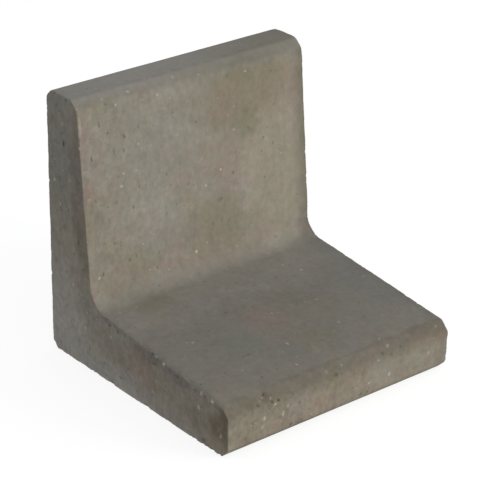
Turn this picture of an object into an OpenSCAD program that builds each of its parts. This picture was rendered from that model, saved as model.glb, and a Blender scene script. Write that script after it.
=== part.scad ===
// L-shaped retaining wall element, cast in one piece from plain dry-cast concrete.
// A standing wall leg and a lying foot, both thicker at the root they share than at
// their free edges. The outer face and the base are flat and square to each other.
// X runs along the wall, the outer face looks to +Y, the toe of the foot points to -Y
// and Z is up. The origin is on the ground, in the middle of the footprint.

/* [Element] */
// Length along the wall, between the two cut ends
element_l = 400; // [200:10:1000]
// Height from the ground to the top of the wall leg
element_h = 400; // [250:10:800]
// Depth from the toe of the foot to the outer face
element_d = 400; // [250:10:600]

/* [Wall leg] */
// Thickness at its top edge
wall_top_t = 70; // [50:1:85]
// Thickness where its inner face would meet the top of the foot
wall_root_t = 98; // [86:1:130]

/* [Foot] */
// Thickness at the toe
foot_toe_t = 74; // [50:1:85]
// Thickness where its top would meet the inner face of the wall leg
foot_root_t = 104; // [86:1:130]

/* [Edges] */
// Radius of the fillet between wall leg and foot
root_r = 34; // [10:1:60]
// Chamfer at the top of the wall leg, on its inner side
top_inner_c = 13; // [8:1:22]
// Chamfer at the top of the wall leg, on its outer side
top_outer_c = 11; // [8:1:22]
// Chamfer at the toe, on its upper side
toe_upper_c = 13; // [8:1:22]
// Chamfer at the toe, on its lower side
toe_lower_c = 13; // [8:1:22]
// Chamfer at the heel, between the base and the outer face
heel_c = 10; // [8:1:50]
// Width of the bevel round each end
end_bevel = 2; // [1:0.5:8]

/* [Hidden] */

$fn = 96;

// How far a cutter stands past what it cuts, and how far one turns past the fillet's ends
overcut = 1;
lap_angle = 2;

// What the fillet's disc reaches past the sides it joins, so that it crosses them and
// never grazes
crossing = 0.002;

outer_y = element_d / 2;
toe_y = -element_d / 2;

// The section's sharp corners as [[y, z], size], anticlockwise. The size is how far a
// chamfer reaches along both sides, and in the inside corner the radius of the fillet.
CORNERS = [
    [[outer_y, 0], heel_c],
    [[outer_y, element_h], top_outer_c],
    [[outer_y - wall_top_t, element_h], top_inner_c],
    [[outer_y - wall_root_t, foot_root_t], root_r],
    [[toe_y, foot_toe_t], toe_upper_c],
    [[toe_y, 0], toe_lower_c]
];
COUNT = len(CORNERS);

function point(i) = CORNERS[(i + COUNT) % COUNT][0];
function size(i) = CORNERS[(i + COUNT) % COUNT][1];

// Unit vector along the side that leaves corner i, and its angle
function along(i) = (point(i + 1) - point(i)) / norm(point(i + 1) - point(i));
function heading(i) = atan2(along(i).y, along(i).x);

// How far the section turns at corner i: left is positive, and an outside corner
function turn(i) = atan2(cross(along(i - 1), along(i)), along(i - 1) * along(i));
function is_outside(i) = turn(i) > 0;

// Distance from sharp corner i to where its chamfer or fillet begins, and both its ends
function setback(i) = is_outside(i) ? size(i) : size(i) * tan(abs(turn(i)) / 2);
function cut_start(i) = point(i) - setback(i) * along(i - 1);
function cut_end(i) = point(i) + setback(i) * along(i);

// Centre of the fillet in an inside corner, to the right of the side that arrives there
function right_of(v) = [v.y, -v.x];
function fillet_centre(i) = cut_start(i) + size(i) * right_of(along(i - 1));

module section() {
    difference() {
        polygon([for (i = [0 : COUNT - 1]) each [cut_start(i), cut_end(i)]]);
        for (i = [0 : COUNT - 1])
            if (!is_outside(i))
                translate(fillet_centre(i)) circle(r = size(i) + crossing);
    }
}

// Cross-section of the bevel cutter: x is the depth into the solid, y the end's outward way
module bevel_section() {
    polygon([
        [-overcut, -end_bevel - overcut],
        [end_bevel + overcut, overcut],
        [-overcut, overcut]
    ]);
}

// Cutter along a straight side, which laps its neighbours at the ends that meet a chamfer
module side_bevel(start, end, laps_start, laps_end) {
    way = (end - start) / norm(end - start);
    lap_start = laps_start ? overcut : 0;
    lap_end = laps_end ? overcut : 0;
    translate(start - lap_start * way) rotate(atan2(way.y, way.x)) rotate([90, 0, 90])
        linear_extrude(height = norm(end - start) + lap_start + lap_end) bevel_section();
}

// Cutter round the fillet of corner i, which laps the sides it joins
module fillet_bevel(i) {
    translate(fillet_centre(i)) rotate(heading(i) + 90 - lap_angle)
        rotate_extrude(angle = abs(turn(i)) + 2 * lap_angle)
            translate([size(i) + crossing, 0]) bevel_section();
}

// Cutters all round one end, for the corners and the sides that leave them
module end_bevels() {
    for (i = [0 : COUNT - 1]) {
        side_bevel(cut_end(i), cut_start(i + 1), is_outside(i), is_outside(i + 1));
        if (is_outside(i)) side_bevel(cut_start(i), cut_end(i), true, true);
        else fillet_bevel(i);
    }
}

module retaining_wall_element() {
    color([0.54, 0.51, 0.46])
        rotate([90, 0, 90])
            difference() {
                linear_extrude(height = element_l, center = true) section();
                for (end = [0, 1]) mirror([0, 0, end]) translate([0, 0, element_l / 2]) end_bevels();
            }
}

retaining_wall_element();
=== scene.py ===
"""The look of an L-shaped retaining wall element in dry-cast concrete, with its stage."""

import math
import random

import bpy
import numpy as np
from bpy.props import FloatProperty, FloatVectorProperty, IntProperty, PointerProperty
from mathutils import Euler, Matrix, Vector, geometry, kdtree, noise


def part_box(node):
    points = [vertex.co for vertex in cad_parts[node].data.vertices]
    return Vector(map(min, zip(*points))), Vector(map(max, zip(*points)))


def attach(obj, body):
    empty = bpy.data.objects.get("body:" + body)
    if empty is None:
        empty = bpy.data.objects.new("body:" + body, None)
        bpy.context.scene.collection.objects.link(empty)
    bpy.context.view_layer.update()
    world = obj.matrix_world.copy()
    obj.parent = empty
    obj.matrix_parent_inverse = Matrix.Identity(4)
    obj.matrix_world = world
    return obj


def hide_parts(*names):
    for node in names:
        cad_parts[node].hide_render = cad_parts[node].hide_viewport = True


bl_info = {
    "name": "L-shaped retaining wall element",
    "version": (1, 0, 0),
    "blender": (4, 5, 0),
    "location": "View3D > Sidebar > Wall element",
    "description": "Casts the element in worn dry-cast concrete and sets its stage",
    "category": "Object",
}

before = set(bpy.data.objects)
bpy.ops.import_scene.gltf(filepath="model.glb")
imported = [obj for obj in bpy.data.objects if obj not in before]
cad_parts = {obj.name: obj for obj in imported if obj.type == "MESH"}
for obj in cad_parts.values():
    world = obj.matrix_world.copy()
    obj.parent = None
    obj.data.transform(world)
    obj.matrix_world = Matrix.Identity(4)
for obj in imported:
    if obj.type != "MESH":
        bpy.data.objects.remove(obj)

NODE = "retaining_wall_element"
BODY = "root"
MM = 0.001


def linear(hex_colour):
    """Scene-linear RGB of an sRGB hex colour such as 8B8474."""
    channels = [int(hex_colour[i : i + 2], 16) / 255 for i in (0, 2, 4)]
    return tuple(c / 12.92 if c <= 0.04045 else ((c + 0.055) / 1.055) ** 2.4 for c in channels)


def length(name, description, default_mm):
    """A length property, whose default is given in millimetres."""
    return FloatProperty(
        name=name, description=description, default=default_mm * MM, min=0, unit="LENGTH",
        precision=4,
    )


def colour(name, description, hex_colour):
    """A colour property, whose default is given as sRGB hex."""
    return FloatVectorProperty(
        name=name, description=description, default=linear(hex_colour), size=3, min=0, max=1,
        subtype="COLOR",
    )


class ElementSettings(bpy.types.PropertyGroup):
    """Sizes of the section, which follow the construction model, and of its wear."""

    wall_top_t: length("Wall top", "Thickness of the wall leg at its top edge", 70)
    wall_root_t: length("Wall root", "Thickness of the wall leg where it meets the foot", 98)
    foot_toe_t: length("Foot toe", "Thickness of the foot at the toe", 74)
    foot_root_t: length("Foot root", "Thickness of the foot where it meets the wall leg", 104)
    root_r: length("Root fillet", "Radius between wall leg and foot", 34)
    top_inner_c: length("Top inner edge", "Chamfer at the top, on the inner side", 13)
    top_outer_c: length("Top outer edge", "Chamfer at the top, on the outer side", 11)
    toe_upper_c: length("Toe upper edge", "Chamfer at the toe, on the upper side", 13)
    toe_lower_c: length("Toe lower edge", "Chamfer at the toe, on the lower side", 13)
    heel_c: length("Heel", "Chamfer between the base and the outer face", 10)
    chamfer_r: length("Chamfer edges", "Rounding where a chamfer meets a face", 8)
    arris_r: length("Arris", "Rounding of the edges round both ends, before wear", 1.2)
    crumble: length("Crumble", "How deep the edges round the ends have crumbled", 0.6)
    waviness: length("Waviness", "How far the faces wander from flat", 0.3)
    chips: IntProperty(name="Chips", description="Small chips along each end", default=60, min=0)
    seed: IntProperty(name="Seed", description="Which chips and waves are drawn", default=7)


class ConcreteSettings(bpy.types.PropertyGroup):
    """Colours of the concrete. Lime, slate, specks, damp and pits also paint light and shade in
    places.
    """

    paste: colour("Paste", "Warm grey of most of the surface", "958F81")
    cool: colour("Cool clouds", "Greener grey, where the mix was wetter", "908D82")
    olive: colour("Olive clouds", "Yellowish grey, from the cement", "807C67")
    russet: colour("Russet clouds", "Pinkish brown, from the sand", "948478")
    # Slate also paints shade on the top's inner chamfer
    slate: colour("Foot", "Cooler grey of the trowelled foot", "85827A")
    ash: colour("Ash", "Bluish grey, where the trowel pressed hardest", "7D7D79")
    # Lime also paints light: it lightens the left end towards the ground and the foot along the
    # wall leg
    lime: colour("Lime", "Light bloom of lime", "A7A39C")
    rust: colour("Brown stains", "Reddish brown, below damp cracks", "6A5748")
    # Damp also paints shade: in the fillet at the right end, on the chamfers and in the foot's
    # chipped edge
    damp: colour("Damp", "Dark brown, where the concrete has stayed damp", "594F44")
    # The pits' colour is painted shade, inside air holes and chips
    painted_pit_shade: colour("Pits", "Inside of the small air holes", "433E36")
    # Specks also paint light: along the left end's bottom edge and on one chip's broken face
    speck: colour("Specks", "Light sand grains at the surface", "CFC6B6")


class StageSettings(bpy.types.PropertyGroup):
    """Camera and light."""

    azimuth: FloatProperty(name="Azimuth", description="Camera's angle round the element",
                           default=math.radians(-39.9), subtype="ANGLE")
    elevation: FloatProperty(name="Elevation", description="Camera's angle above the horizon",
                             default=math.radians(26.2), subtype="ANGLE")
    roll: FloatProperty(name="Roll", description="Camera's turn about its own axis",
                        default=math.radians(0.96), subtype="ANGLE")
    distance: length("Distance", "From the camera to the point that it looks at", 2970.7)
    aim_height: length("Aim height", "Height of the point that the camera looks at", 171.0)
    lens: FloatProperty(name="Lens", description="Focal length, on a 36 mm sensor",
                        default=153.1, unit="CAMERA")
    key_power: FloatProperty(name="Key lamp", description="Power of the main lamp",
                             default=50.0, unit="POWER")
    ambient: FloatProperty(name="Ambient", description="Strength of the light from all round",
                           default=0.49)


# ---------------------------------------------------------------- section

def section_corners(settings):
    """The section's corners as (y, z, radius), anticlockwise from the heel. A chamfer cuts
    each outside corner off and leaves two in its place."""
    low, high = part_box(NODE)
    outer, toe, ground, top = high[1], low[1], low[2], high[2]
    sharp = [
        (outer, ground, settings.heel_c),
        (outer, top, settings.top_outer_c),
        (outer - settings.wall_top_t, top, settings.top_inner_c),
        (outer - settings.wall_root_t, ground + settings.foot_root_t, None),
        (toe, ground + settings.foot_toe_t, settings.toe_upper_c),
        (toe, ground, settings.toe_lower_c),
    ]
    corners = []
    for i, (y, z, chamfer) in enumerate(sharp):
        if chamfer is None:
            corners.append((y, z, settings.root_r))
            continue
        for neighbour in (sharp[i - 1], sharp[(i + 1) % len(sharp)]):
            side = (Vector(neighbour[:2]) - Vector((y, z))).normalized()
            corners.append((*(Vector((y, z)) + chamfer * side), settings.chamfer_r))
    return corners


def rounded_section(corners, count):
    """count evenly spaced points round the section, with its corners rounded, and the
    outward normal at each, as two arrays of (y, z)."""
    arc_steps = 24  # straight steps round each corner
    path, normals = [], []
    for i, (y, z, radius) in enumerate(corners):
        here = Vector((y, z))
        arriving = (here - Vector(corners[i - 1][:2])).normalized()
        leaving = (Vector(corners[(i + 1) % len(corners)][:2]) - here).normalized()
        turn = math.atan2(arriving.cross(leaving), arriving.dot(leaving))
        side = math.copysign(1, turn)
        outward = Vector((arriving.y, -arriving.x))
        setback = radius * math.tan(abs(turn) / 2)
        centre = here - setback * arriving - side * radius * outward
        for step in range(arc_steps + 1):
            normal = Matrix.Rotation(turn * step / arc_steps, 2) @ outward
            path.append(centre + side * radius * normal)
            normals.append(normal)
    path = np.array([*path, path[0]])
    normals = np.array([*normals, normals[0]])
    travelled = np.concatenate([[0], np.cumsum(np.linalg.norm(np.diff(path, axis=0), axis=1))])
    stops = np.arange(count) / count * travelled[-1]
    points = np.stack([np.interp(stops, travelled, path[:, k]) for k in (0, 1)], axis=1)
    normals = np.stack([np.interp(stops, travelled, normals[:, k]) for k in (0, 1)], axis=1)
    return points, normals / np.linalg.norm(normals, axis=1, keepdims=True)


# ---------------------------------------------------------------- mesh

FINE = 1.5 * MM      # point spacing at the edges round the ends
COARSE = 3.2 * MM    # and along the middle of the length
EDGE_BAND = 10 * MM  # how far from the ends the fine spacing reaches
# Points inside an end lie in three bands: their spacing, and how far from the edge each band
# starts and stops
END_BANDS = (
    (FINE, 0.8 * FINE, 3 * FINE),
    (2 * FINE, 3.6 * FINE, 9 * FINE),
    (3 * FINE, 10 * FINE, math.inf),
)
MERGED = 1e-7     # points of an end that are closer than this count as one
LEANING = 4 * MM  # how far from an edge the way out still leans over


def ring_places(settings, half_length):
    """(x, inset, step) of each ring from the left end to the right: rings close to an end
    use every point of the section, and the others every second one."""
    arris = settings.arris_r
    arc = [math.radians(a) for a in (0, 30, 60, 90)]
    places = [(arris * (1 - math.cos(a)), arris * (1 - math.sin(a)), 1) for a in arc]
    places += [(x, 0, 1) for x in np.arange(arris + FINE, EDGE_BAND, FINE)]
    middle = np.linspace(EDGE_BAND + COARSE / 2, half_length, round(half_length / COARSE))
    places += [(x, 0, 2) for x in middle]
    left = [(x - half_length, inset, step) for x, inset, step in places]
    right = [(-x, inset, step) for x, inset, step in reversed(left[:-1])]
    return left + right


def stitch(low, high):
    """Faces between two neighbouring closed rings of vertex numbers, given from left to
    right. One may have twice as many points as the other."""
    low_next, high_next = np.roll(low, -1), np.roll(high, -1)
    if len(low) == len(high):
        return np.stack([low, low_next, high_next, high], axis=1).tolist()
    if len(low) > len(high):
        start, middle, end = low[::2], low[1::2], low_next[1::2]
        triangles = [(start, middle, high), (middle, high_next, high), (middle, end, high_next)]
    else:
        start, middle, end = high[::2], high[1::2], high_next[1::2]
        triangles = [(low, middle, start), (low, low_next, middle), (low_next, end, middle)]
    return np.concatenate([np.stack(t, axis=1) for t in triangles]).tolist()


def search_tree(points):
    """A tree that finds the points nearest to a place."""
    tree = kdtree.KDTree(len(points))
    for i, point in enumerate(points):
        tree.insert(point, i)
    tree.balance()
    return tree


def fill_end(outline, normals):
    """Points inside a closed outline, sparser away from it, their distance from it, the
    outline's point nearest to each, and the triangles that fill it. Triangles count the
    outline's own points first."""
    tree = search_tree([(y, z, 0) for y, z in outline])
    low, high = outline.min(axis=0), outline.max(axis=0)
    inner, depths, nearest = [], [], []
    for spacing, least, most in END_BANDS:
        row_height = spacing * math.sqrt(0.75)  # rows of equal-sided triangles
        for row in range(math.ceil((high[1] - low[1]) / row_height)):
            for column in range(math.ceil((high[0] - low[0]) / spacing) + 1):
                across = low[0] + (column + row % 2 / 2) * spacing
                point = Vector((across, low[1] + row * row_height))
                _, i, depth = tree.find((*point, 0))
                inside = (point - Vector(outline[i])).dot(Vector(normals[i])) < 0
                if inside and least < depth < most:
                    inner.append(point)
                    depths.append(depth)
                    nearest.append(i)
    points = [Vector(p) for p in outline] + inner
    edges = [(i, (i + 1) % len(outline)) for i in range(len(outline))]
    inside_only = 1
    _, _, faces, origins, _, _ = geometry.delaunay_2d_cdt(points, edges, [], inside_only, MERGED)
    triangles = np.array([[origins[v][0] for v in face] for face in faces])
    return np.array(inner), np.array(depths), nearest, triangles


def fading(distance, reach):
    """1 at no distance, a third at the reach and next to nothing at twice the reach."""
    return np.exp(-((np.asarray(distance) / reach) ** 2))


def lean(from_edge):
    """How far the way out at a point leans towards the face beyond the edge: at the edge
    itself it is halfway between the two faces."""
    return fading(from_edge, LEANING)


def build_blank(settings):
    """The unworn element as vertices and faces, each vertex's distance from the nearest edge
    round an end, measured along the surface, and its way out of the concrete."""
    low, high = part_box(NODE)
    half_length = (high[0] - low[0]) / 2
    corners = section_corners(settings)
    # A first, rougher outline measures the way round the section
    rough_outline, _ = rounded_section(corners, count=400)
    perimeter = np.linalg.norm(rough_outline - np.roll(rough_outline, 1, axis=0), axis=1).sum()
    points, normals = rounded_section(corners, count=2 * round(perimeter / FINE / 2))

    vertices, from_edge, outward, rings, count = [], [], [], [], 0
    for x, inset, step in ring_places(settings, half_length):
        ring = points[::step] - inset * normals[::step]
        depth = max(0, half_length - abs(x) - settings.arris_r)
        vertices.append(np.column_stack([np.full(len(ring), x), ring]))
        from_edge.append(np.full(len(ring), depth))
        sideways = np.full(len(ring), np.sign(x) * lean(depth))
        outward.append(np.column_stack([sideways, normals[::step]]))
        rings.append(np.arange(count, count + len(ring)))
        count += len(ring)
    faces = []
    for left, right in zip(rings, rings[1:]):
        faces += stitch(left, right)

    end_outline = points - settings.arris_r * normals
    inner, depths, nearest, triangles = fill_end(end_outline, normals)
    leaning = lean(depths)[:, None] * normals[nearest]
    for side, ring in ((-1, rings[0]), (1, rings[-1])):
        numbers = np.concatenate([ring, np.arange(count, count + len(inner))])
        faces += numbers[triangles[:, ::side]].tolist()
        vertices.append(np.column_stack([np.full(len(inner), side * half_length), inner]))
        from_edge.append(depths)
        outward.append(np.column_stack([np.full(len(inner), side), leaning]))
        count += len(inner)
    outward = np.concatenate(outward)
    outward /= np.linalg.norm(outward, axis=1, keepdims=True)
    return np.concatenate(vertices), faces, np.concatenate(from_edge), outward


# ---------------------------------------------------------------- wear

GRAININESS = 0.04 * MM    # how far the faces wander from one grain to the next
CRUMBLING = 2.5 * MM      # how far from an edge it crumbles
NEAR_GROUND = 20 * MM     # edges lower than this crumble deeper, twice as deep at the ground
STRETCH_REACH = 4.5 * MM  # how far from the edge a worn stretch is worn
FILLET_REACH = 30 * MM    # how far from its middle the fillet is uneven
FILLET_WAVES = 1.0 * MM   # and by how much
SMALL_CHIPS = (1.5, 4.5)  # least and greatest radius of the small chips, in millimetres
SMALL_BITES = (0.2, 0.6)  # and how deep they bite
CHIP_LUMPS = 2.5 * MM     # size of the lumps in a chip's floor
CHIP_ROUGHNESS = 0.12     # and how high they are, as a share of the chip's radius

# Stretches of edge round the ends that are worn rounder than the rest, in millimetres: from
# one place to another, and how deep
WORN = (
    ((-200, 78, 106), (-200, -186, 76), 2.4),
    ((-200, -200, 60), (-200, -200, 16), 0.5),
    ((200, -200, 56), (200, -200, 10), 0.6),
    ((200, 143, 400), (200, 129, 386), 1.0),
    ((200, 198, 392), (200, 182, 400), 1.6),
)
# The middle of the fillet between wall and foot, which was finished by hand
ROOT = ((-200, 94, 112), (200, 94, 112))
# Chips knocked out of the edges round the ends, in millimetres: a place on the edge, the
# size of the chip and how deep it bites
CHIPS = (
    ((-200, 124, 338), 5, 1.3),
    ((-200, 63, 97), 6, 1.6),
    ((-200, 41, 95), 5, 1.2),
    ((-200, 22, 92), 6, 1.6),
    ((-200, -4, 91), 4, 1.2),
    ((-200, -34, 87), 8, 3.0),
    ((-200, -62, 86), 4, 1.2),
    ((-200, -98, 81), 7, 2.0),
    ((-200, -124, 78), 6, 1.8),
    ((-200, -146, 76), 6, 1.8),
    ((-200, 196, 330), 4, 0.8),
    ((-200, 200, 262), 5, 0.9),
    ((-200, 200, 118), 5, 1.1),
    ((-200, 105, 0), 7, 1.2),
    ((-200, 54, 0), 6, 1.1),
    ((-200, -24, 0), 8, 1.3),
    ((-200, -131, 0), 7, 1.6),
    ((-200, -147, 0), 6, 1.4),
    ((-200, -169, 0), 7, 1.8),
    ((-200, -182, 0), 6, 1.6),
    ((200, 114, 229), 4, 1.6),
    ((200, 110, 191), 4, 1.0),
    ((200, -20, 92), 5, 0.9),
    ((200, -114, 82), 6, 1.5),
    ((200, -137, 80), 6, 1.3),
    ((200, -200, 6), 9, 2.2),
)


def waves(points, size, seed, octaves=2):
    """Smooth noise from about -1 to 1 at each point, with waves of the given size."""
    shift = Vector((seed * 17.3, seed * 5.1, seed * 9.7))  # each seed lands far from the others
    return np.array(
        [noise.fractal(Vector(p) / size + shift, 1.0, 2.0, octaves) for p in points]
    )


def as_share(values):
    """Noise from -1 to 1, turned into a share from 0 to 1."""
    return 0.5 + 0.5 * np.clip(values, -1, 1)


def from_stretch(points, start, end):
    """Each point's distance from the straight line between two places."""
    start, end = np.array(start) * MM, np.array(end) * MM
    way = end - start
    share = np.clip((points - start) @ way / (way @ way), 0, 1)
    return np.linalg.norm(points - start - share[:, None] * way, axis=1)


def wear_down(points, outward, from_edge, settings):
    """Waves in the faces and the fillet, and crumbling along the edges round the ends."""
    seed = settings.seed
    crumble = waves(points, size=18 * MM, seed=seed + 2, octaves=3)
    grit = waves(points, size=4 * MM, seed=seed + 3)
    depth = settings.waviness * as_share(waves(points, size=70 * MM, seed=seed))
    depth += GRAININESS * (1 + waves(points, size=9 * MM, seed=seed + 1))
    # Edges crumble in places and stay sound in others, but worn stretches are worn all along
    at_ground = np.clip(1 - points[:, 2] / NEAR_GROUND, 0, 1)
    along_edges = fading(from_edge, CRUMBLING) * settings.crumble * (1 + at_ground)
    depth += along_edges * np.clip(0.3 + 0.9 * crumble + 0.4 * grit, 0, 2)
    for start, end, bite in WORN:
        worn = fading(from_stretch(points, start, end), STRETCH_REACH) * bite * MM
        depth += worn * np.clip(0.8 + 0.7 * crumble + 0.2 * grit, 0, 1.6)
    in_fillet = fading(from_stretch(points, *ROOT), FILLET_REACH)
    depth += in_fillet * FILLET_WAVES * as_share(waves(points, size=30 * MM, seed=seed + 4))
    return points - outward * depth[:, None]


def scoop(points, tree, centre, radius):
    """Presses the points that lie inside a ball out onto its surface, as a chip breaks off.
    The ball is a little lumpy, and so is the chip's floor."""
    for _, i, _ in tree.find_range(centre, radius):
        lumpy = 1 + CHIP_ROUGHNESS * noise.noise(Vector(points[i]) / CHIP_LUMPS)
        away = points[i] - np.array(centre)
        stretch = radius * lumpy / np.linalg.norm(away)
        points[i] = np.array(centre) + away * max(1, stretch)


def knock_chips(points, outward, from_edge, settings):
    """Knocks chips out of the edges round the ends: small ones anywhere along them, and the
    larger ones in their places."""
    tree = search_tree(points)
    draw = random.Random(settings.seed)
    edge = np.flatnonzero(from_edge == 0)
    for side in (-1, 1):
        on_side = edge[np.sign(points[edge, 0]) == side]
        for _ in range(settings.chips):
            i = on_side[draw.randrange(len(on_side))]
            radius = draw.uniform(*SMALL_CHIPS) * MM
            bite = draw.uniform(*SMALL_BITES) * MM
            scoop(points, tree, Vector(points[i] + outward[i] * (radius - bite)), radius)
    for place, size, bite in CHIPS:
        corner, i, _ = tree.find(Vector(place) * MM)
        away = Vector(outward[i]) + Vector((math.copysign(1, place[0]), 0, 0))
        scoop(points, tree, corner + away.normalized() * (size - bite) * MM, size * MM)


# ---------------------------------------------------------------- material

def add(tree, kind, settings=None, **inputs):
    """Adds a node: settings are its own attributes, inputs its sockets by name or as
    _0, _1 by number. A pair (node, output) is linked and any other value is set."""
    node = tree.nodes.new(kind)
    for key, value in (settings or {}).items():
        setattr(node, key, value)
    for key, value in inputs.items():
        socket = node.inputs[int(key[1:]) if key[1:].isdigit() else key.replace("_", " ")]
        if isinstance(value, tuple) and isinstance(value[0], bpy.types.Node):
            tree.links.new(value[0].outputs[value[1]], socket)
        else:
            socket.default_value = (*value, 1)[:4] if socket.type == "RGBA" else value
    return node


def per_mm(size):
    """Texture scale at which a pattern repeats every size millimetres."""
    return 1 / (size * MM)


# Clouds, stains, painted light and painted shade that lie in certain places, in millimetres: the
# middle, how far it reaches along x, y and z, the name of its colour and how strong it is in the
# middle
STAINS_AND_PAINTED_LIGHT = (
    # Wall
    ((-80, 120, 315), (110, 60, 120), "cool", 0.7),
    ((-60, 110, 190), (70, 50, 60), "cool", 0.4),
    ((-150, 125, 374), (44, 50, 26), "olive", 0.3),
    ((-192, 120, 350), (22, 60, 55), "russet", 0.6),
    ((-190, 118, 265), (22, 50, 34), "russet", 0.8),
    ((-185, 115, 215), (28, 50, 55), "olive", 0.3),
    ((105, 125, 362), (120, 60, 100), "olive", 1.0),
    ((125, 125, 345), (80, 60, 70), "russet", 0.35),
    ((182, 125, 350), (34, 60, 90), "russet", 0.25),
    ((-27, 108, 160), (42, 50, 36), "russet", 0.35),
    ((92, 120, 305), (28, 50, 42), "olive", 0.6),
    ((52, 122, 342), (66, 50, 80), "olive", 0.6),
    ((10, 122, 340), (50, 50, 70), "slate", 0.3),
    ((55, 120, 335), (50, 50, 60), "russet", 0.45),
    ((60, 115, 240), (34, 50, 80), "russet", 0.45),
    ((75, 110, 200), (40, 50, 40), "lime", 0.35),
    ((-85, 112, 215), (80, 50, 70), "lime", 0.25),
    ((50, 98, 112), (80, 40, 30), "olive", 0.45),
    ((30, 96, 116), (110, 50, 44), "russet", 0.25),
    # Painted shade in the fillet's crease at the right end
    ((198, 92, 106), (36, 40, 34), "damp", 0.55),
    ((200, 115, 230), (30, 50, 150), "olive", 0.35),
    ((38, 108, 165), (80, 50, 75), "olive", 0.5),
    ((-140, 105, 130), (64, 50, 48), "olive", 0.2),
    ((140, 112, 210), (75, 50, 130), "speck", 0.27),
    ((140, 112, 210), (75, 50, 130), "olive", 0.5),
    # Foot
    ((0, -60, 90), (520, 260, 46), "slate", 1.0),
    # Painted light: the foot is lighter along the wall leg, against the shade that the wall throws
    # on it
    ((0, 50, 100), (900, 76, 40), "lime", 0.26),
    ((-115, 62, 96), (60, 44, 40), "olive", 0.4),
    ((-10, -60, 88), (54, 80, 40), "russet", 0.5),
    ((42, -22, 90), (42, 44, 40), "olive", 0.3),
    ((15, -125, 82), (60, 36, 40), "olive", 0.35),
    ((60, -75, 87), (56, 50, 40), "russet", 0.15),
    ((66, -60, 88), (60, 60, 40), "olive", 0.2),
    ((205, -40, 92), (90, 280, 60), "ash", 0.6),
    ((204, -100, 88), (22, 240, 50), "damp", 0.15),
    # Toe
    ((-100, -202, 40), (240, 30, 90), "olive", 0.5),
    ((110, -202, 40), (200, 30, 90), "olive", 0.2),
    ((130, -202, 40), (180, 30, 90), "damp", 0.1),
    ((198, -204, 50), (50, 30, 50), "damp", 0.18),
    ((-75, -200, 46), (40, 30, 34), "lime", 0.15),
    ((15, -200, 44), (34, 30, 34), "russet", 0.5),
    ((75, -200, 36), (36, 30, 30), "lime", 0.1),
    ((-60, -200, 28), (160, 30, 36), "russet", 0.33),
)
# The same on the top of the wall leg, where each stops at the edge
TOP_STAINS = (
    ((0, 170, 402), (900, 90, 14), "slate", 0.7),
    ((-130, 170, 402), (260, 90, 14), "ash", 0.5),
    ((105, 160, 402), (150, 90, 14), "olive", 0.45),
    ((-196, 165, 402), (44, 90, 14), "cool", 0.6),
    ((-90, 170, 402), (230, 90, 14), "lime", 0.75),
    ((60, 175, 402), (120, 90, 14), "lime", 0.3),
    ((150, 165, 402), (90, 90, 14), "lime", 0.2),
)
# The same along the edges, where they wander less: painted shade that darkens the chamfers of the
# toe and of the top's inner edge
PAINTED_EDGE_SHADE = (
    ((0, -195, 73), (1800, 18, 34), "damp", 0.42),
    ((170, -191, 76), (90, 18, 20), "damp", 0.25),
    ((0, 141, 398), (1800, 9, 10), "slate", 0.25),
    ((130, 141, 398), (330, 9, 10), "slate", 0.5),
    ((130, 132, 389), (260, 12, 18), "slate", 0.6),
)
# The same on the left end, as y and z, where each stops at the edge
END_STAINS_AND_PAINTED_LIGHT = (
    ((165, 362), (50, 56), "cool", 0.5),
    ((160, 290), (80, 130), "slate", 0.8),
    ((190, 376), (36, 40), "ash", 0.4),
    ((188, 151), (36, 60), "ash", 0.35),
    ((176, 397), (44, 22), "slate", 0.6),
    # Darker along the inner edge, beside the wall's inner side
    ((130, 300), (22, 170), "damp", 0.3),
    ((118, 170), (30, 110), "damp", 0.35),
    # Damp along the foot's worn upper edge, with painted shade in its chipped recesses
    ((60, 96), (80, 13), "damp", 0.35),
    ((-30, 87), (80, 13), "damp", 0.22),
    ((-120, 78), (80, 13), "damp", 0.3),
    ((-20, 74), (34, 26), "rust", 0.25),
    ((-188, 56), (30, 54), "damp", 0.32),
    ((-190, 48), (28, 60), "rust", 0.42),
    ((-140, 42), (70, 34), "damp", 0.2),
    ((-15, 55), (60, 40), "russet", 0.5),
    # Painted light: the end grows lighter towards the ground and the heel, standing in for light
    # thrown up from the floor
    ((200, 20), (150, 200), "lime", 0.9),
    ((60, 0), (200, 56), "lime", 0.9),
    ((40, -6), (260, 28), "lime", 0.7),
    ((40, -6), (260, 24), "speck", 0.2),
    ((-120, 6), (60, 30), "lime", 0.4),
)
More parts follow.
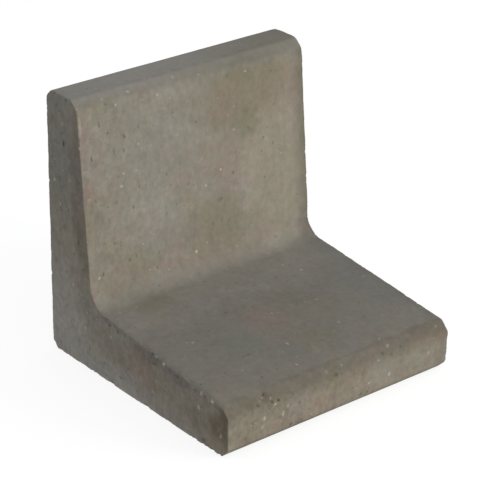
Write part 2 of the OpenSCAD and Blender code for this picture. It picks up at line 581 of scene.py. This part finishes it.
# The same for single grains, holes and smudges that stand out from the rest. Holes and chips are
# darkened with painted shade, and one chip's face has a painted highlight
MARKS = (
    # Wall
    ((-12.5, 104, 131.5), (3.3, 3.3, 3.3), "speck", 0.9),
    ((-134.5, 117, 264), (3, 3, 3), "speck", 0.7),
    ((-135, 128, 381.5), (2.8, 2.8, 2.8), "speck", 0.6),
    ((-110, 135, 392.5), (3.2, 3.2, 3.2), "speck", 0.55),
    ((-31, 136.5, 394), (5, 4, 3), "speck", 0.25),
    ((-195.5, 127, 365), (3, 6, 26), "speck", 0.3),
    ((-154, 134.5, 392), (3, 3, 3), "speck", 0.3),
    ((-183, 105.5, 141), (3, 3, 3), "speck", 0.7),
    ((-62, 103.5, 118.5), (3, 3, 3), "speck", 0.5),
    ((-130, 119, 281.5), (2.5, 2.5, 2.5), "speck", 0.5),
    ((-108, 118.5, 280), (2.5, 2.5, 2.5), "speck", 0.5),
    ((-101.5, 122, 317.5), (2.5, 2.5, 2.5), "speck", 0.5),
    ((-95.5, 104, 128.5), (2.5, 2.5, 2.5), "speck", 0.5),
    ((-64, 128, 379), (2.5, 2.5, 2.5), "speck", 0.45),
    ((39, 115, 243), (2.5, 2.5, 2.5), "speck", 0.8),
    ((12, 113.5, 226), (2.2, 2.2, 2.2), "speck", 0.6),
    ((66, 120, 296), (2.2, 2.2, 2.2), "speck", 0.5),
    ((93, 128, 377), (2.5, 2.5, 2.5), "speck", 0.5),
    # Pits: painted shade in air holes
    ((62.5, 114, 232), (4, 3, 4), "painted_pit_shade", 0.45),
    ((37, 111, 198), (8, 5, 5), "painted_pit_shade", 0.3),
    ((35.5, 108, 166), (3, 3, 4), "painted_pit_shade", 0.35),
    ((93.5, 120, 292), (3, 3, 5), "painted_pit_shade", 0.4),
    ((142, 122, 315), (3, 3, 4), "painted_pit_shade", 0.35),
    ((-181, 122, 316), (2, 3, 8), "painted_pit_shade", 0.7),
    ((-124, 123.5, 333.5), (3.5, 3, 5), "painted_pit_shade", 0.5),
    ((-127, 122, 314), (3, 3, 5), "painted_pit_shade", 0.35),
    ((-165, 126, 361), (3.5, 3, 8), "painted_pit_shade", 0.4),
    ((-151.5, 128.5, 386), (4, 3, 3), "painted_pit_shade", 0.35),
    ((-144, 122, 317), (3, 3, 5), "painted_pit_shade", 0.35),
    ((-139, 118.5, 279), (3, 3, 5), "painted_pit_shade", 0.35),
    ((-145, 115, 243), (3, 3, 5), "painted_pit_shade", 0.3),
    ((-117, 114, 228), (3, 3, 5), "painted_pit_shade", 0.4),
    ((-154, 109.5, 185), (3, 3, 5), "painted_pit_shade", 0.4),
    ((-142, 109, 180), (3, 3, 5), "painted_pit_shade", 0.5),
    ((-176, 106, 145), (3, 3, 5), "painted_pit_shade", 0.45),
    ((-130.5, 106.5, 152.5), (3, 3, 5), "painted_pit_shade", 0.35),
    ((-83, 104, 128), (3, 3, 5), "painted_pit_shade", 0.45),
    ((-57, 117, 260.5), (3, 3, 4), "painted_pit_shade", 0.35),
    ((-20, 114.5, 237), (3, 3, 4), "painted_pit_shade", 0.35),
    # Foot
    ((116, 21.5, 96), (3, 3, 3), "speck", 0.5),
    ((101.5, 47, 98.5), (2.5, 2.5, 2.5), "speck", 0.5),
    ((81, -52, 89), (3, 3, 3), "speck", 0.35),
    ((69, -113, 83), (3, 3, 3), "speck", 0.4),
    ((-28, -117, 82), (4, 4, 4), "speck", 0.4),
    ((-137, -45, 89.5), (3, 3, 3), "speck", 0.45),
    ((-51, -163, 78), (3, 3, 3), "speck", 0.5),
    ((89, -176, 76.5), (3, 3, 3), "speck", 0.45),
    ((90.5, -191, 71), (3.5, 4, 3.5), "speck", 0.28),
    ((183, -190.5, 71.5), (3, 4, 3.5), "speck", 0.2),
    ((5, -191.5, 70.5), (3.5, 4, 3.5), "speck", 0.25),
    ((-22.5, -192, 70), (3.5, 4, 3.5), "speck", 0.17),
    ((-96, -109, 83), (14, 3, 3), "painted_pit_shade", 0.25),
    # Toe
    ((-128, -196, 70), (16, 12, 10), "rust", 0.35),
    # Pits: painted shade in air holes
    ((-131.5, -190, 72), (4, 4, 4), "painted_pit_shade", 0.75),
    ((-147.5, -197, 64), (4, 4, 4), "painted_pit_shade", 0.5),
    ((-123, -199, 62), (4, 4, 3), "painted_pit_shade", 0.7),
    ((-113.5, -200, 61), (4, 6, 3.5), "painted_pit_shade", 0.9),
    ((-91, -200, 65), (4, 6, 4), "painted_pit_shade", 0.5),
    ((-76.5, -200, 44.5), (4, 6, 4), "painted_pit_shade", 0.35),
    ((-91, -200, 16), (5, 6, 4), "painted_pit_shade", 0.45),
    ((-9.5, -198, 63), (5, 5, 4), "painted_pit_shade", 0.5),
    ((35, -200, 17), (5, 6, 4), "painted_pit_shade", 0.45),
    ((48, -200, 17), (4, 6, 4), "painted_pit_shade", 0.45),
    ((77, -196, 65.5), (4, 5, 4), "painted_pit_shade", 0.5),
    ((91, -200, 61), (4, 6, 4), "painted_pit_shade", 0.4),
    ((110.5, -196.5, 65), (4, 5, 4), "painted_pit_shade", 0.45),
    ((-124, -195, 66.5), (3, 3, 3), "speck", 0.27),
    ((-142, -194.5, 67), (3, 3, 3), "speck", 0.16),
    ((-119, -200, 56.5), (3, 5, 3), "speck", 0.6),
    ((-137.5, -200, 42), (3.5, 4, 5), "speck", 0.55),
    ((-104.5, -200, 37.5), (3, 4, 6), "speck", 0.5),
    ((-96, -200, 47), (3, 4, 4), "speck", 0.35),
    ((-140.5, -200, 29.5), (3, 4, 4), "speck", 0.3),
    ((88.5, -200, 31.5), (3, 4, 5.5), "speck", 0.5),
    ((162.5, -200, 39.5), (3, 4, 4), "speck", 0.3),
    # Left end
    # The lighter broken face of a chip, with a painted highlight where it catches the light
    ((-199.5, 123.5, 336.5), (3.5, 4.5, 3.5), "speck", 0.85),
    ((-200, 163, 358), (4, 5, 4), "speck", 0.25),
    ((-200, 185, 268), (3, 3, 4), "speck", 0.6),
    ((-200, 172, 235), (3, 3, 4), "speck", 0.5),
    ((-200, 145, 121), (3, 3, 4), "speck", 0.5),
    ((-200, 118, 64), (3, 4, 4), "speck", 0.5),
    ((-200, 177, 50), (3, 4, 4), "speck", 0.45),
    ((-200, 58, 74), (3, 4, 4), "speck", 0.4),
    ((-200, -62, 84.5), (4, 4, 4), "speck", 0.8),
    ((-199, -44.5, 89), (3.5, 4, 3.5), "speck", 0.5),
    ((-200, -138.5, 53), (3, 4, 5), "speck", 0.5),
    ((-200, -143, 76), (4, 4, 4), "speck", 0.8),
    ((-200, -166, 75), (4, 4, 4), "speck", 0.75),
    ((-200, -186, 31), (3, 3, 5), "speck", 0.5),
    # Pits: painted shade in air holes and in the chips along the foot's edge
    ((-200, 153, 396), (4, 4, 4), "painted_pit_shade", 0.5),
    ((-200, 160.5, 330), (4, 3.5, 7), "painted_pit_shade", 0.8),
    ((-200, 130, 192), (4, 3, 6), "painted_pit_shade", 0.6),
    ((-200, 60, 92), (5, 7, 4), "painted_pit_shade", 0.5),
    ((-200, 41.5, 90.5), (4, 4, 4), "painted_pit_shade", 0.4),
    ((-200, 27, 90), (5, 6, 4), "painted_pit_shade", 0.5),
    ((-200, -33.5, 87), (5, 7, 6), "painted_pit_shade", 0.65),
    ((-200, -40, 76), (4, 5, 4), "painted_pit_shade", 0.35),
    ((-200, -91, 79), (5, 7, 4), "painted_pit_shade", 0.35),
    ((-200, -149, 75), (4, 5, 4), "painted_pit_shade", 0.5),
    ((-200, -150, 8), (4, 6, 5), "painted_pit_shade", 0.5),
    ((-200, 69, 9), (4, 5, 4), "painted_pit_shade", 0.45),
    ((-200, 36, 20), (4, 5, 4), "painted_pit_shade", 0.4),
)


# A Mix node's inputs go by number: 0 is the share of the second value. Values are 2 and 3, with
# the result in output 0; colours are 6 and 7, with the result in output 2.
RGBA = {"data_type": "RGBA"}


def faint_clouds(tree, where, colours):
    """The paste's own colour, with faint warm and cool clouds everywhere."""
    clouds = add(tree, "ShaderNodeTexNoise", Vector=where, Scale=per_mm(80), Detail=2.0,
                 Roughness=0.5)
    blotches = add(tree, "ShaderNodeTexNoise", Vector=where, Scale=per_mm(24), Detail=2.0,
                   Roughness=0.6)
    blotches = add(tree, "ShaderNodeSeparateColor", Color=(blotches, "Color"))
    tinted = colours.paste
    for source, least, most, strength, tint in (
        ((clouds, "Fac"), 0.42, 0.66, 0.5, colours.cool),
        ((blotches, "Red"), 0.45, 0.7, 0.7, colours.russet),
        ((blotches, "Green"), 0.5, 0.7, 0.4, colours.olive),
    ):
        amount = add(tree, "ShaderNodeMapRange", Value=source, From_Min=least, From_Max=most,
                     To_Max=strength)
        mixed = add(tree, "ShaderNodeMix", RGBA, _0=(amount, "Result"), _6=tinted, _7=tint)
        tinted = (mixed, 2)
    return tinted


def stained_and_painted_light(tree, where, tinted, drift, fray, colours):
    """Clouds, stains, marks and painted light and shade in their places, whose outlines wander by
    up to half of the millimetres given for x, y and z. Noise only ever moves a place forwards, so
    each middle moves with it by that half."""
    # Those of the left end reach no more than 2.5 mm along the length
    on_end = [((-200, *middle), (2.5, *reach), *rest) for middle, reach, *rest in END_STAINS_AND_PAINTED_LIGHT]
    layers = (
        (STAINS_AND_PAINTED_LIGHT, drift, (60, 60, 60)),
        (TOP_STAINS, drift, (60, 60, 0)),
        (PAINTED_EDGE_SHADE, drift, (0, 20, 20)),
        (on_end, drift, (0, 60, 60)),
        (MARKS, fray, (6, 6, 6)),
    )
    for stains, noise_node, wandering in layers:
        moved = add(tree, "ShaderNodeVectorMath", {"operation": "MULTIPLY_ADD"},
                    _0=(noise_node, "Color"), _1=[w * MM for w in wandering], _2=where)
        for middle, reach, name, strength in stains:
            scale = [per_mm(r) for r in reach]
            shift = [-(m + w / 2) * MM * k for m, w, k in zip(middle, wandering, scale)]
            ball = add(tree, "ShaderNodeMapping", Vector=(moved, "Vector"), Location=shift,
                       Scale=scale)
            ball = add(tree, "ShaderNodeTexGradient", {"gradient_type": "SPHERICAL"},
                       Vector=(ball, "Vector"))
            amount = add(tree, "ShaderNodeMapRange", {"interpolation_type": "SMOOTHSTEP"},
                         Value=(ball, "Fac"), From_Max=0.8, To_Max=strength)
            mixed = add(tree, "ShaderNodeMix", RGBA, _0=(amount, "Result"), _6=tinted,
                        _7=getattr(colours, name))
            tinted = (mixed, 2)
    return tinted


def darker_right_strip(tree, tinted, axes, facing, trowelled):
    """A darker strip along the right end of the wall's inner side, up to its top."""
    inner_side = add(tree, "ShaderNodeMapRange", Value=(facing, "Y"), From_Min=-0.2, From_Max=-0.6)
    strip = add(tree, "ShaderNodeMapRange", Value=(axes, "X"), From_Min=173 * MM,
                From_Max=200 * MM, To_Min=1.0, To_Max=0.68)
    on_wall = add(tree, "ShaderNodeMapRange", Value=(axes, "Z"), From_Min=88 * MM,
                  From_Max=120 * MM)
    shade = add(tree, "ShaderNodeMix", _0=(on_wall, "Result"), _2=1.0, _3=(strip, "Result"))
    shade = add(tree, "ShaderNodeMix", _0=(trowelled, "Result"), _2=(shade, 0), _3=1.0)
    shade = add(tree, "ShaderNodeMix", _0=(inner_side, "Result"), _2=1.0, _3=(shade, 0))
    darkened = add(tree, "ShaderNodeVectorMath", {"operation": "SCALE"}, _0=tinted,
                   Scale=(shade, 0))
    return (darkened, "Vector")


def coarseness(tree, axes, trowelled):
    """How coarse the surface is: the trowelled foot and top less than the moulded wall, which
    is smoother towards the right end, the toe more and the top of the wall least."""
    wall = add(tree, "ShaderNodeMapRange", Value=(axes, "X"), From_Min=-200 * MM,
               From_Max=200 * MM, To_Min=1.05, To_Max=0.65)
    toe = add(tree, "ShaderNodeMapRange", Value=(axes, "Y"), From_Min=-190 * MM,
              From_Max=-184 * MM, To_Min=1.25, To_Max=1.0)
    crest = add(tree, "ShaderNodeMapRange", Value=(axes, "Z"), From_Min=386 * MM,
                From_Max=398 * MM, To_Min=1.0, To_Max=0.6)
    coarse = add(tree, "ShaderNodeMix", _0=(trowelled, "Result"), _2=(wall, "Result"), _3=0.58)
    for part in (toe, crest):
        coarse = add(tree, "ShaderNodeMath", {"operation": "MULTIPLY"}, _0=(coarse, 0),
                     _1=(part, "Result"))
    return (coarse, 0)


def mottled(tree, where, up_the_faces, coarse):
    """Light and dark about 1: mottling from 40 mm wide down to the sand, and drag marks. Real
    sand is too fine to show, so it is drawn a few millimetres wide."""
    mottle = add(tree, "ShaderNodeTexNoise", Vector=where, Scale=per_mm(38), Detail=3.0,
                 Roughness=0.85)
    sand = add(tree, "ShaderNodeTexNoise", Vector=where, Scale=per_mm(9), Detail=2.0,
               Roughness=0.6)
    drags = add(tree, "ShaderNodeTexNoise", Vector=up_the_faces, Scale=per_mm(9), Detail=2.0,
                Roughness=0.8)
    rough = (mottle, "Fac")
    for layer, share in ((drags, 0.8), (sand, 0.9)):
        added = add(tree, "ShaderNodeMath", {"operation": "MULTIPLY_ADD"}, _0=(layer, "Fac"),
                    _1=share, _2=rough)
        rough = (added, 0)
    rough = add(tree, "ShaderNodeMapRange", Value=rough, From_Min=0.85, From_Max=1.85,
                To_Min=-0.225, To_Max=0.225)
    shade = add(tree, "ShaderNodeMath", {"operation": "MULTIPLY_ADD"}, _0=(rough, "Result"),
                _1=coarse, _2=1.0)
    return (shade, 0)


def spots(tree, where, cell, rarest, largest, channel):
    """Round spots, up to largest millimetres in radius, in some of the cells of a Voronoi
    pattern. Cells whose random value is under rarest have none."""
    soft_edge = 0.4  # millimetres to either side of the rim
    cells = add(tree, "ShaderNodeTexVoronoi", Vector=where, Scale=per_mm(cell), Randomness=1.0)
    chance = add(tree, "ShaderNodeSeparateColor", Color=(cells, "Color"))
    radius = add(tree, "ShaderNodeMapRange", Value=(chance, channel), From_Min=rarest,
                 From_Max=1.0, To_Min=-soft_edge / cell, To_Max=largest / cell)
    depth = add(tree, "ShaderNodeMath", {"operation": "SUBTRACT"}, _0=(radius, "Result"),
                _1=(cells, "Distance"))
    spot = add(tree, "ShaderNodeMapRange", Value=(depth, 0), From_Min=-soft_edge / cell,
               From_Max=soft_edge / cell, To_Min=0.0, To_Max=1.0)
    return (spot, "Result")


def holes_and_grains(tree, where, up_the_faces, coarse):
    """Air holes with short tears and pores, and light grains, as two patterns from 0 to 1.
    There are more of them where it is coarser."""
    rarest = add(tree, "ShaderNodeMath", {"operation": "MULTIPLY_ADD"}, _0=coarse, _1=-0.5,
                 _2=1.0)
    rarest = (rarest, 0)
    hollow = spots(tree, where, cell=10, rarest=rarest, largest=1.8, channel="Red")
    pore = spots(tree, where, cell=4.5, rarest=rarest, largest=0.8, channel="Green")
    tear = spots(tree, up_the_faces, cell=9, rarest=rarest, largest=1.5, channel="Green")
    for more in (tear, pore):
        deeper = add(tree, "ShaderNodeMath", {"operation": "MAXIMUM"}, _0=hollow, _1=more)
        hollow = (deeper, 0)
    grain = spots(tree, where, cell=10, rarest=rarest, largest=1.5, channel="Blue")
    return hollow, grain


def dry_cast_concrete(colours):
    """Dry-cast concrete, struck out of a steel mould while still green: matt and sandy, with
    soft warm and cool clouds, drag marks up the faces, air holes and light grains."""
    material = bpy.data.materials.new("dry_cast_concrete")
    material.use_nodes = True
    tree = material.node_tree
    tree.nodes.clear()
    place = add(tree, "ShaderNodeTexCoord")
    where = (place, "Object")
    axes = add(tree, "ShaderNodeSeparateXYZ", Vector=where)
    facing = add(tree, "ShaderNodeSeparateXYZ", Vector=(place, "Normal"))
    # The foot and the top of the wall face up, and were trowelled
    trowelled = add(tree, "ShaderNodeMapRange", Value=(facing, "Z"), From_Min=0.3, From_Max=0.8)
    # Drag marks run up the faces, as the mould was pulled off upwards
    stretched = add(tree, "ShaderNodeMapping", Vector=where, Scale=(1, 1, 0.45))
    up_the_faces = (stretched, "Vector")

    # Noise by which the outlines of stains drift and those of marks fray
    drift, fray = (
        add(tree, "ShaderNodeTexNoise", Vector=where, Scale=per_mm(size), Detail=4.0, Roughness=0.7)
        for size in (36, 7)
    )
    tinted = faint_clouds(tree, where, colours)
    tinted = stained_and_painted_light(tree, where, tinted, drift, fray, colours)
    # Darker towards the right end of the wall's inner side
    tinted = darker_right_strip(tree, tinted, axes, facing, trowelled)

    coarse = coarseness(tree, axes, trowelled)
    shade = mottled(tree, where, up_the_faces, coarse)
    shaded = add(tree, "ShaderNodeVectorMath", {"operation": "SCALE"}, _0=tinted, Scale=shade)
    # The colour wanders as well: each channel is up to 6% more or less
    hues = add(tree, "ShaderNodeVectorMath", {"operation": "MULTIPLY_ADD"}, _0=(drift, "Color"),
               _1=(0.12, 0.12, 0.12), _2=(0.94, 0.94, 0.94))
    shaded = add(tree, "ShaderNodeVectorMath", {"operation": "MULTIPLY"}, _0=(shaded, "Vector"),
                 _1=(hues, "Vector"))

    hollow, grain = holes_and_grains(tree, where, up_the_faces, coarse)
    # Painted shade: the holes and tears are darkened towards the pits' colour
    darker = add(tree, "ShaderNodeMath", {"operation": "MULTIPLY"}, _0=hollow, _1=0.36)
    holed = add(tree, "ShaderNodeMix", RGBA, _0=(darker, 0), _6=(shaded, "Vector"), _7=colours.painted_pit_shade)
    lighter = add(tree, "ShaderNodeMath", {"operation": "MULTIPLY"}, _0=grain, _1=0.42)
    speckled = add(tree, "ShaderNodeMix", RGBA, _0=(lighter, 0), _6=(holed, 2), _7=colours.speck)

    height = add(tree, "ShaderNodeMath", {"operation": "SUBTRACT"}, _0=shade, _1=hollow)
    bump = add(tree, "ShaderNodeBump", Strength=0.6, Distance=0.5 * MM, Height=(height, 0))
    # Bare, dusty concrete: IOR 1.5, very rough, and with half the usual gloss
    surface = add(tree, "ShaderNodeBsdfPrincipled", Base_Color=(speckled, 2), Roughness=0.92,
                  IOR=1.5, Specular_IOR_Level=0.25, Normal=(bump, "Normal"))
    add(tree, "ShaderNodeOutputMaterial", Surface=(surface, "BSDF"))
    return material


# ---------------------------------------------------------------- stage

FLOOR_REACH = 6.0                    # metres from the element to the floor's edge
KEY_SIZE = (1.6, 1.2)                # width and height of the main lamp, in metres
KEY_COLOUR = (1.0, 0.98, 0.95)       # slightly warm
KEY_AIM = 0.2                        # height in metres of the point that it shines at
KEY_DISTANCE = 3.0                   # metres from that point to the lamp
KEY_DIRECTION = (0.57, -0.81, 0.15)  # and the way there: to the front right, and low
SENSOR = 36                          # width of the camera's sensor, in millimetres


def white_floor():
    """A matt white floor. The camera sees it almost white, with the element's soft shadow."""
    material = bpy.data.materials.new("white_floor")
    material.use_nodes = True
    tree = material.node_tree
    tree.nodes.clear()
    matt = add(tree, "ShaderNodeBsdfDiffuse", Color=(0.8, 0.8, 0.8))
    # Light of its own brings it near white, and a darker matt surface adds the shadow
    shadowed = add(tree, "ShaderNodeBsdfDiffuse", Color=(0.35, 0.35, 0.35))
    lift = add(tree, "ShaderNodeEmission", Color=(1, 1, 1), Strength=0.82)
    seen = add(tree, "ShaderNodeAddShader", _0=(shadowed, "BSDF"), _1=(lift, "Emission"))
    ray = add(tree, "ShaderNodeLightPath")
    both = add(tree, "ShaderNodeMixShader", _0=(ray, "Is Camera Ray"), _1=(matt, "BSDF"),
               _2=(seen, "Shader"))
    add(tree, "ShaderNodeOutputMaterial", Surface=(both, "Shader"))
    return material


def white_room(world, ambient):
    """Even light from all round, which the camera and reflections see as plain white."""
    world.use_nodes = True
    tree = world.node_tree
    tree.nodes.clear()
    ray = add(tree, "ShaderNodeLightPath")
    seen = (ray, "Is Camera Ray")
    for kind in ("Is Glossy Ray", "Is Transmission Ray"):
        either = add(tree, "ShaderNodeMath", {"operation": "MAXIMUM"}, _0=seen, _1=(ray, kind))
        seen = (either, 0)
    light = add(tree, "ShaderNodeBackground", Color=(0.99, 1.0, 1.02), Strength=ambient)
    white = add(tree, "ShaderNodeBackground", Color=(1, 1, 1), Strength=1.0)
    both = add(tree, "ShaderNodeMixShader", _0=seen, _1=(light, "Background"),
               _2=(white, "Background"))
    add(tree, "ShaderNodeOutputWorld", Surface=(both, "Shader"))


# ---------------------------------------------------------------- operators

class WALLELEMENT_OT_cast(bpy.types.Operator):
    """Cast the element, wear its edges and give it the concrete"""

    bl_idname = "wallelement.cast"
    bl_label = "Cast element"

    def execute(self, context):
        settings = context.scene.wall_element
        blank, faces, from_edge, outward = build_blank(settings)
        points = wear_down(blank, outward, from_edge, settings)
        knock_chips(points, outward, from_edge, settings)
        mesh = bpy.data.meshes.new("wall_element")
        mesh.from_pydata(points.tolist(), [], faces)
        mesh.shade_smooth()
        if mesh.validate():
            raise RuntimeError("the element's mesh has faces that are not valid")
        piece = bpy.data.objects.new("wall_element", mesh)
        context.collection.objects.link(piece)
        mesh.materials.append(dry_cast_concrete(context.scene.wall_concrete))
        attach(piece, BODY)
        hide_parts(NODE)
        return {"FINISHED"}


class WALLELEMENT_OT_stage(bpy.types.Operator):
    """Set the floor, the light and the camera"""

    bl_idname = "wallelement.stage"
    bl_label = "Set stage"

    def execute(self, context):
        scene = context.scene
        stage = scene.wall_stage
        scene.view_settings.view_transform = "Standard"

        floor_mesh = bpy.data.meshes.new("floor")
        reach = FLOOR_REACH
        corners = [(-reach, -reach, 0), (reach, -reach, 0), (reach, reach, 0), (-reach, reach, 0)]
        floor_mesh.from_pydata(corners, [], [(0, 1, 2, 3)])
        floor = bpy.data.objects.new("floor", floor_mesh)
        context.collection.objects.link(floor)
        floor_mesh.materials.append(white_floor())

        scene.world = bpy.data.worlds.new("studio")
        white_room(scene.world, stage.ambient)

        key = bpy.data.lights.new("key", "AREA")
        key.shape = "RECTANGLE"
        key.size, key.size_y = KEY_SIZE
        key.energy = stage.key_power
        key.color = KEY_COLOUR
        lamp = bpy.data.objects.new("key", key)
        context.collection.objects.link(lamp)
        direction = Vector(KEY_DIRECTION).normalized()
        lamp.location = direction * KEY_DISTANCE + Vector((0, 0, KEY_AIM))
        lamp.rotation_euler = direction.to_track_quat("Z", "Y").to_euler()

        camera_data = bpy.data.cameras.new("camera")
        camera_data.sensor_width = SENSOR
        camera_data.lens = stage.lens
        camera = bpy.data.objects.new("camera", camera_data)
        context.collection.objects.link(camera)
        turn = Euler((math.pi / 2 - stage.elevation, 0, stage.azimuth)).to_matrix()
        turn = turn @ Matrix.Rotation(stage.roll, 3, "Z")
        aim = Vector((0, 0, stage.aim_height))
        away = turn @ Vector((0, 0, stage.distance))
        camera.matrix_world = Matrix.LocRotScale(aim + away, turn, None)
        scene.camera = camera
        return {"FINISHED"}


class WALLELEMENT_PT_panel(bpy.types.Panel):
    """Lists the sizes, the colours and the steps"""

    bl_label = "Wall element"
    bl_space_type = "VIEW_3D"
    bl_region_type = "UI"
    bl_category = "Wall element"

    def draw(self, context):
        scene = context.scene
        for group, step in (
            (scene.wall_element, WALLELEMENT_OT_cast),
            (scene.wall_concrete, None),
            (scene.wall_stage, WALLELEMENT_OT_stage),
        ):
            box = self.layout.box()
            for name in group.bl_rna.properties.keys():
                if name not in ("rna_type", "name"):
                    box.prop(group, name)
            if step:
                box.operator(step.bl_idname)


CLASSES = (
    ElementSettings, ConcreteSettings, StageSettings,
    WALLELEMENT_OT_cast, WALLELEMENT_OT_stage, WALLELEMENT_PT_panel,
)


def register():
    for cls in CLASSES:
        bpy.utils.register_class(cls)
    bpy.types.Scene.wall_element = PointerProperty(type=ElementSettings)
    bpy.types.Scene.wall_concrete = PointerProperty(type=ConcreteSettings)
    bpy.types.Scene.wall_stage = PointerProperty(type=StageSettings)


def unregister():
    del bpy.types.Scene.wall_stage
    del bpy.types.Scene.wall_concrete
    del bpy.types.Scene.wall_element
    for cls in reversed(CLASSES):
        bpy.utils.unregister_class(cls)


def main():
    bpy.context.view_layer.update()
    register()
    bpy.ops.wallelement.stage()
    bpy.ops.wallelement.cast()


if __name__ == "__main__":
    main()
